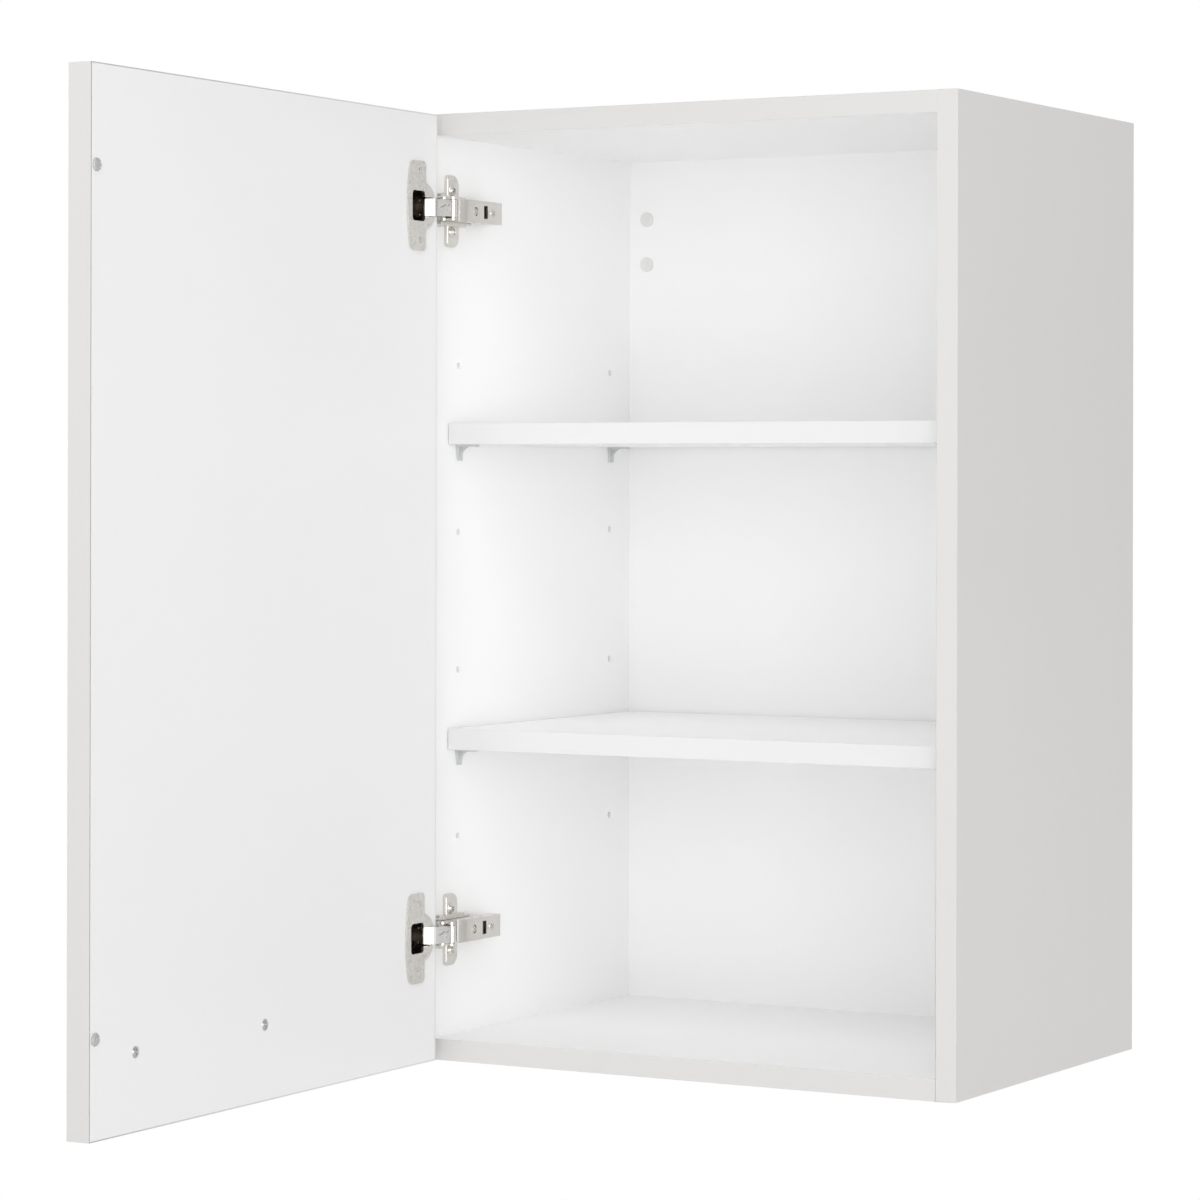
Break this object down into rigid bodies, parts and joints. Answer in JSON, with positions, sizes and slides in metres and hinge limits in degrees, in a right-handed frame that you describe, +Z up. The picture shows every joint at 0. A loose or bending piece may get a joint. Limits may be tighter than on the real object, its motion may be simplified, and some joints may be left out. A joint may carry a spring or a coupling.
{
  "type": "hanging wall cabinet",
  "caption": "Wall-hung storage cabinet with a hinged door on concealed cup hinges, adjustable shelves on peg supports, a bow handle and hidden hangers.",
  "frame": {"origin": "middle of the lower rear edge of the carcass, on the wall plane", "axes": "+X to the right seen from the front, +Y into the wall, +Z up; the front faces -Y"},
  "size_m": [0.4725, 0.7908, 0.72],
  "materials": {
    "melamine": "matte white melamine on chipboard",
    "edge_band": "satin white",
    "back_board": "white lacquered hardboard",
    "support_plastic": "satin light grey",
    "white_plastic": "matte white",
    "clear_plastic": "translucent",
    "zinc": "die-cast zinc",
    "steel": "zinc plated",
    "nickel": "nickel plated, satin",
    "satin_steel": "brushed",
    "beech": "raw beech"
  },
  "bodies": {
    "cabinet": {"side_panel_left": "melamine", "side_panel_right": "melamine", "top_panel": "melamine", "bottom_panel": "melamine", "back_panel": "back_board", "carcass_edge_bands": "edge_band", "shelf_upper": "melamine", "shelf_lower": "melamine", "shelf_edge_bands": "edge_band", "shelf_supports_upper": "support_plastic", "shelf_supports_lower": "support_plastic", "cam_housings": "zinc", "cam_bolts": "steel", "dowels": "beech", "hanger_body_left": "steel", "hanger_body_right": "steel", "hanger_hook_left": "steel", "hanger_hook_right": "steel", "hanger_screws": "steel", "hanger_caps": "white_plastic", "hinge_plate_upper": "nickel", "hinge_plate_lower": "nickel", "hinge_plate_screws": "nickel", "hinge_arm_upper": "nickel", "hinge_arm_lower": "nickel", "hinge_adjusting_screws": "nickel", "hinge_arm_pins": "steel", "hinge_springs": "steel"},
    "outer_links": {"outer_link_upper": "nickel", "outer_link_lower": "nickel"},
    "inner_links": {"inner_link_upper": "steel", "inner_link_lower": "steel"},
    "door": {"door_panel": "melamine", "door_edge_bands": "edge_band", "hinge_cup_upper": "nickel", "hinge_cup_lower": "nickel", "hinge_cup_screws": "nickel", "door_handle": "satin_steel", "handle_screws": "steel", "door_bumpers": "clear_plastic"}
  },
  "joints": [
    {"name": "door_swing", "type": "hinge", "parent": "outer_links", "child": "door", "pos_m": [-0.20666, -0.34894, 0.37225], "axis": [0, 0, 1], "range_deg": [0, 125.94]},
    {"name": "link_swing", "type": "hinge", "parent": "cabinet", "child": "outer_links", "pos_m": [-0.1915, -0.328, 0.37225], "axis": [0, 0, 1], "range_deg": [-37.67, 0]},
    {"name": "inner_link_swing", "type": "hinge", "parent": "cabinet", "child": "inner_links", "pos_m": [-0.1987, -0.3298, 0.37225], "axis": [0, 0, 1], "range_deg": [-76.19, 0]}
  ],
  "couplings": [
    {"joint": "link_swing", "follows": "door_swing", "ratio": -0.29744},
    {"joint": "inner_link_swing", "follows": "door_swing", "ratio": -0.60329}
  ]
}
